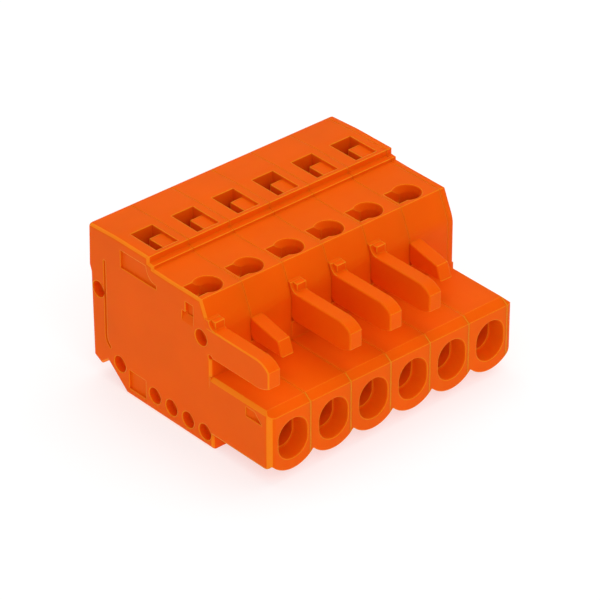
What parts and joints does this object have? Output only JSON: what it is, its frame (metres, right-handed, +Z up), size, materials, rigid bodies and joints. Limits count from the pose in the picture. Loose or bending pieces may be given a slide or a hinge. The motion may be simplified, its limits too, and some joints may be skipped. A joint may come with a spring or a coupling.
{
  "type": "pluggable terminal block",
  "caption": "Orange plug-in terminal block: spring-clamp wire entries on top, a row of pin sockets in front, with latch and coding fingers above them.",
  "frame": {"origin": "bottom centre of the bounding box, in the plane of the foot", "axes": "+X along the row of poles, -Y towards the mating face, +Z up towards the wire entries"},
  "size_m": [0.0312, 0.0266, 0.0172],
  "materials": {
    "housing_plastic": "satin moulded polyamide",
    "tinned_copper": "bright tin plating",
    "spring_steel": "bright rolled strip"
  },
  "bodies": {
    "block": {"housing_1": "housing_plastic", "housing_2": "housing_plastic", "housing_3": "housing_plastic", "housing_4": "housing_plastic", "housing_5": "housing_plastic", "housing_6": "housing_plastic", "end_plate": "housing_plastic", "contact_1": "tinned_copper", "contact_2": "tinned_copper", "contact_3": "tinned_copper", "contact_4": "tinned_copper", "contact_5": "tinned_copper", "contact_6": "tinned_copper"},
    "spring_1": {"clamp_spring_1": "spring_steel"},
    "spring_2": {"clamp_spring_2": "spring_steel"},
    "spring_3": {"clamp_spring_3": "spring_steel"},
    "spring_4": {"clamp_spring_4": "spring_steel"},
    "spring_5": {"clamp_spring_5": "spring_steel"},
    "spring_6": {"clamp_spring_6": "spring_steel"}
  },
  "joints": [
    {"name": "clamp_1", "type": "hinge", "parent": "block", "child": "spring_1", "pos_m": [-0.01299, 0.00051, 0.00628], "axis": [1, 0, 0], "range_deg": [0, 20], "stiffness_Nm_per_rad": 0.02, "springref_deg": -20.05},
    {"name": "clamp_2", "type": "hinge", "parent": "block", "child": "spring_2", "pos_m": [-0.00791, 0.00051, 0.00628], "axis": [1, 0, 0], "range_deg": [0, 20], "stiffness_Nm_per_rad": 0.02, "springref_deg": -20.05},
    {"name": "clamp_3", "type": "hinge", "parent": "block", "child": "spring_3", "pos_m": [-0.00283, 0.00051, 0.00628], "axis": [1, 0, 0], "range_deg": [0, 20], "stiffness_Nm_per_rad": 0.02, "springref_deg": -20.05},
    {"name": "clamp_4", "type": "hinge", "parent": "block", "child": "spring_4", "pos_m": [0.00225, 0.00051, 0.00628], "axis": [1, 0, 0], "range_deg": [0, 20], "stiffness_Nm_per_rad": 0.02, "springref_deg": -20.05},
    {"name": "clamp_5", "type": "hinge", "parent": "block", "child": "spring_5", "pos_m": [0.00733, 0.00051, 0.00628], "axis": [1, 0, 0], "range_deg": [0, 20], "stiffness_Nm_per_rad": 0.02, "springref_deg": -20.05},
    {"name": "clamp_6", "type": "hinge", "parent": "block", "child": "spring_6", "pos_m": [0.01241, 0.00051, 0.00628], "axis": [1, 0, 0], "range_deg": [0, 20], "stiffness_Nm_per_rad": 0.02, "springref_deg": -20.05}
  ]
}
